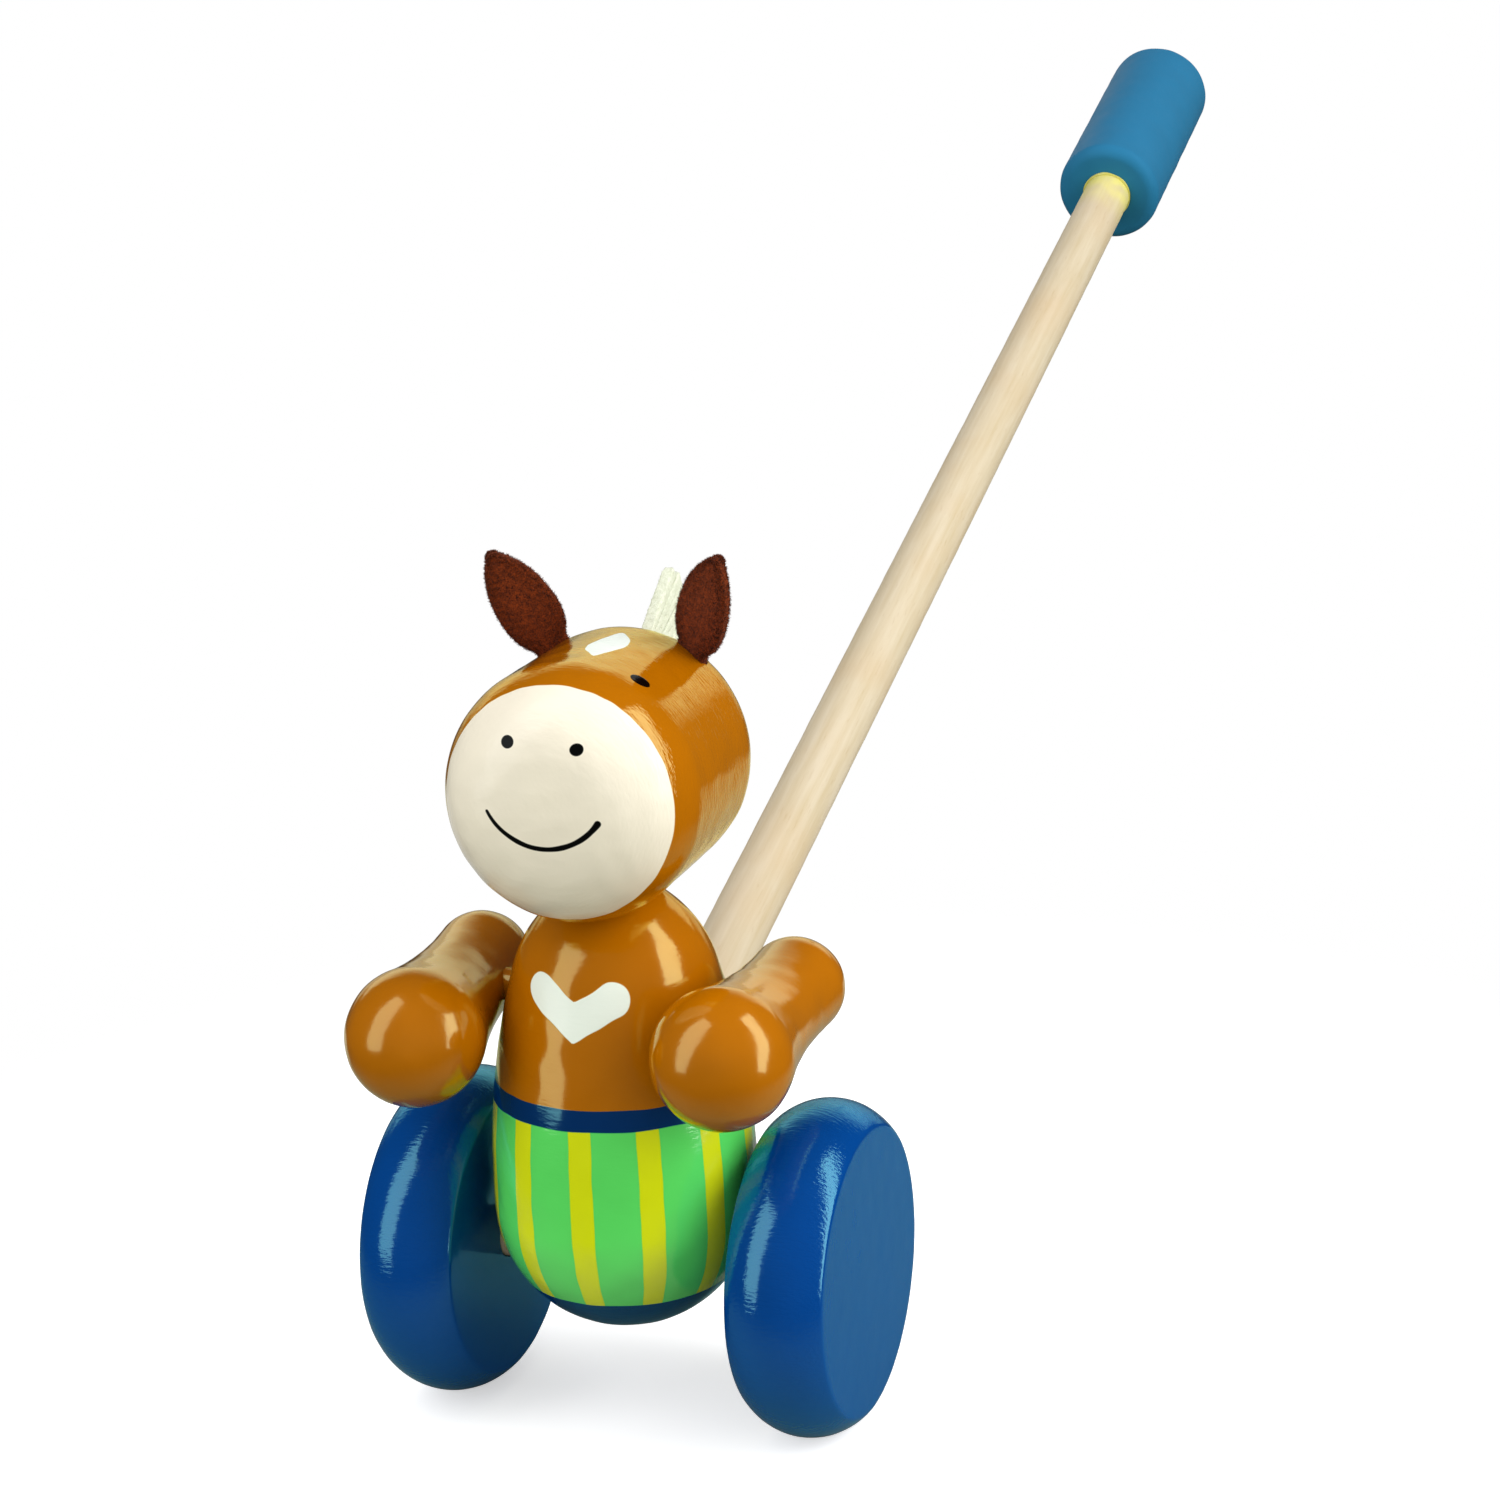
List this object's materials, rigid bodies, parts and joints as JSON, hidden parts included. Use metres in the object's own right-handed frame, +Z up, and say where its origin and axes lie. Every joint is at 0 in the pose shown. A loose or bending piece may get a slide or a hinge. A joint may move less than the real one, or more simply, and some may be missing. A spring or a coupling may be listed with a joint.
{
  "type": "push-along toy",
  "caption": "Turned wooden push-along pony on a wheeled axle, with felt ears and mane, swinging arms, and a long push stick with a round grip.",
  "frame": {"origin": "on the floor, midway between the wheels and straight under the wheel axle", "axes": "+Z up, -Y the way the pony looks and rolls, +Y along the push stick's lean, +X the pony's left, along the axles"},
  "size_m": [0.117, 0.6041, 0.2968],
  "materials": {
    "tan_lacquer": "gloss tan lacquer on turned wood, cream lacquer on the muzzle",
    "torso_paint": "gloss lacquer on turned wood: tan above a navy belt, green with yellow stripes below, navy foot",
    "navy_lacquer": "gloss navy lacquer on turned wood",
    "blue_satin": "satin blue paint on turned wood",
    "bare_wood": "sanded bare dowel",
    "brown_felt": "thick brown felt",
    "ivory_felt": "thick ivory felt, cut into locks"
  },
  "bodies": {
    "figure": {"torso": "torso_paint", "head": "tan_lacquer", "neck_dowel": "bare_wood", "left_ear": "brown_felt", "right_ear": "brown_felt", "mane": "ivory_felt", "push_stick": "bare_wood", "handle_grip": "blue_satin"},
    "wheelset": {"left_wheel": "navy_lacquer", "right_wheel": "navy_lacquer", "wheel_axle": "bare_wood"},
    "arms": {"left_arm": "tan_lacquer", "right_arm": "tan_lacquer", "shoulder_axle": "bare_wood"}
  },
  "joints": [
    {"name": "wheel_roll", "type": "hinge", "parent": "figure", "child": "wheelset", "pos_m": [0, 0, 0.04], "axis": [1, 0, 0], "continuous": true},
    {"name": "arm_swing", "type": "hinge", "parent": "figure", "child": "arms", "pos_m": [0, -0.0068, 0.1067], "axis": [1, 0, 0], "range_deg": [-55, 10]}
  ]
}
